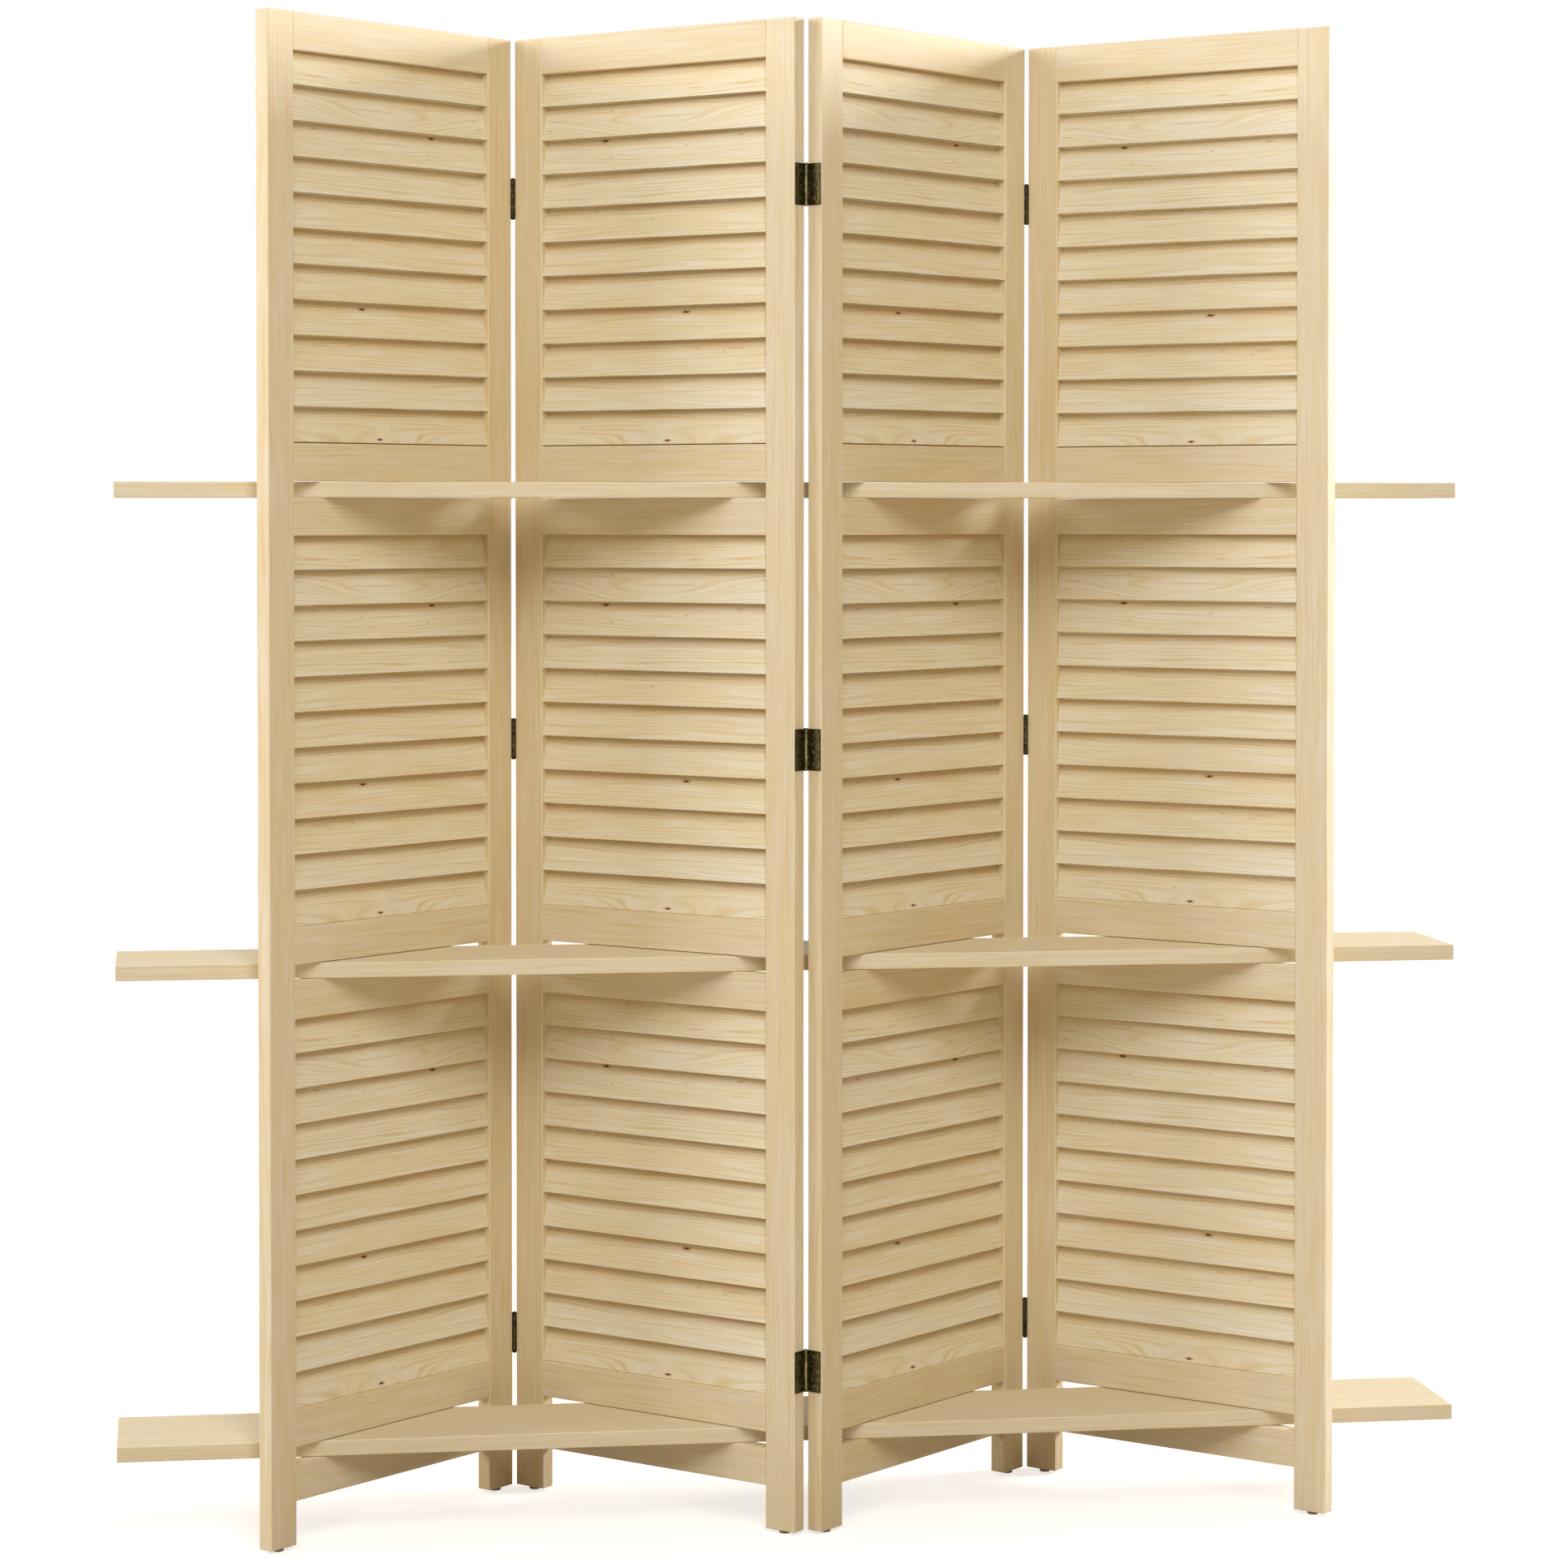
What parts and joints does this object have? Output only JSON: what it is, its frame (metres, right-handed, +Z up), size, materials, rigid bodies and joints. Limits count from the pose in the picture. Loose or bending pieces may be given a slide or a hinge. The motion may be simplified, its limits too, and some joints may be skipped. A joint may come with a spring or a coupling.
{
  "type": "folding screen with shelves",
  "caption": "Free-standing zigzag room divider of hinged louvred pine panels with long loose shelf boards through slots in the rails.",
  "frame": {"origin": "on the floor under the middle of the bounding box, half way between the front and rear hinge lines", "axes": "+X to the viewer's right along the shelves, +Y away from the viewer through the screen, +Z up"},
  "size_m": [1.533, 0.2904, 1.7],
  "materials": {
    "pine_stiles": "bare sanded pine, grain along the stile",
    "pine_rails": "bare sanded pine, grain along the rail",
    "pine_slats": "bare sanded pine, grain along the slat",
    "pine_shelves": "bare sanded pine board with eased edges",
    "aged_brass": "dark mottled antique brass plating",
    "hinge_screws": "dark antique brass plating",
    "glide_plastic": "brown moulded plastic, matt"
  },
  "bodies": {
    "panel_1": {"panel_1_left_stile": "pine_stiles", "panel_1_right_stile": "pine_stiles", "panel_1_top_rail": "pine_rails", "panel_1_top_slot_rails": "pine_rails", "panel_1_top_louvres": "pine_slats", "panel_1_middle_slot_rails": "pine_rails", "panel_1_middle_louvres": "pine_slats", "panel_1_bottom_slot_rails": "pine_rails", "panel_1_bottom_louvres": "pine_slats", "panel_1_hinge_leaves": "aged_brass", "panel_1_hinge_screws": "hinge_screws", "panel_1_foot_glides": "glide_plastic", "rear_left_hinge_pins": "aged_brass"},
    "panel_2": {"panel_2_left_stile": "pine_stiles", "panel_2_right_stile": "pine_stiles", "panel_2_top_rail": "pine_rails", "panel_2_top_slot_rails": "pine_rails", "panel_2_top_louvres": "pine_slats", "panel_2_middle_slot_rails": "pine_rails", "panel_2_middle_louvres": "pine_slats", "panel_2_bottom_slot_rails": "pine_rails", "panel_2_bottom_louvres": "pine_slats", "panel_2_hinge_leaves": "aged_brass", "panel_2_hinge_screws": "hinge_screws", "panel_2_foot_glides": "glide_plastic"},
    "panel_3": {"panel_3_left_stile": "pine_stiles", "panel_3_right_stile": "pine_stiles", "panel_3_top_rail": "pine_rails", "panel_3_top_slot_rails": "pine_rails", "panel_3_top_louvres": "pine_slats", "panel_3_middle_slot_rails": "pine_rails", "panel_3_middle_louvres": "pine_slats", "panel_3_bottom_slot_rails": "pine_rails", "panel_3_bottom_louvres": "pine_slats", "panel_3_hinge_leaves": "aged_brass", "panel_3_hinge_screws": "hinge_screws", "panel_3_foot_glides": "glide_plastic", "rear_right_hinge_pins": "aged_brass"},
    "panel_4": {"panel_4_left_stile": "pine_stiles", "panel_4_right_stile": "pine_stiles", "panel_4_top_rail": "pine_rails", "panel_4_top_slot_rails": "pine_rails", "panel_4_top_louvres": "pine_slats", "panel_4_middle_slot_rails": "pine_rails", "panel_4_middle_louvres": "pine_slats", "panel_4_bottom_slot_rails": "pine_rails", "panel_4_bottom_louvres": "pine_slats", "panel_4_hinge_leaves": "aged_brass", "panel_4_hinge_screws": "hinge_screws", "panel_4_foot_glides": "glide_plastic"},
    "shelf_line": {"front_middle_hinge_pins": "aged_brass"},
    "top_shelf_board": {"top_shelf": "pine_shelves"},
    "middle_shelf_board": {"middle_shelf": "pine_shelves"},
    "bottom_shelf_board": {"bottom_shelf": "pine_shelves"}
  },
  "joints": [
    {"name": "screen_fold", "type": "hinge", "parent": "panel_2", "child": "panel_3", "pos_m": [0, -0.13091, 0], "axis": [0, 0, 1], "range_deg": [-14, 92.6]},
    {"name": "left_panel_fold", "type": "hinge", "parent": "panel_2", "child": "panel_1", "pos_m": [-0.3064, 0.13091, 0], "axis": [0, 0, 1], "range_deg": [-14, 92.6]},
    {"name": "right_panel_fold", "type": "hinge", "parent": "panel_3", "child": "panel_4", "pos_m": [0.3064, 0.13091, 0], "axis": [0, 0, 1], "range_deg": [-92.6, 14]},
    {"name": "shelf_line_turn", "type": "hinge", "parent": "panel_2", "child": "shelf_line", "pos_m": [0, -0.13091, 0], "axis": [0, 0, 1], "range_deg": [-7, 46.3]},
    {"name": "top_shelf_slide", "type": "slide", "parent": "shelf_line", "child": "top_shelf_board", "axis": [1, 0, 0], "range_m": [-1.4, 1.4]},
    {"name": "middle_shelf_slide", "type": "slide", "parent": "shelf_line", "child": "middle_shelf_board", "axis": [1, 0, 0], "range_m": [-1.4, 1.4]},
    {"name": "bottom_shelf_slide", "type": "slide", "parent": "shelf_line", "child": "bottom_shelf_board", "axis": [1, 0, 0], "range_m": [-1.4, 1.4]}
  ],
  "couplings": [
    {"joint": "left_panel_fold", "follows": "screen_fold", "ratio": 1},
    {"joint": "right_panel_fold", "follows": "screen_fold", "ratio": -1},
    {"joint": "shelf_line_turn", "follows": "screen_fold", "ratio": 0.5}
  ]
}
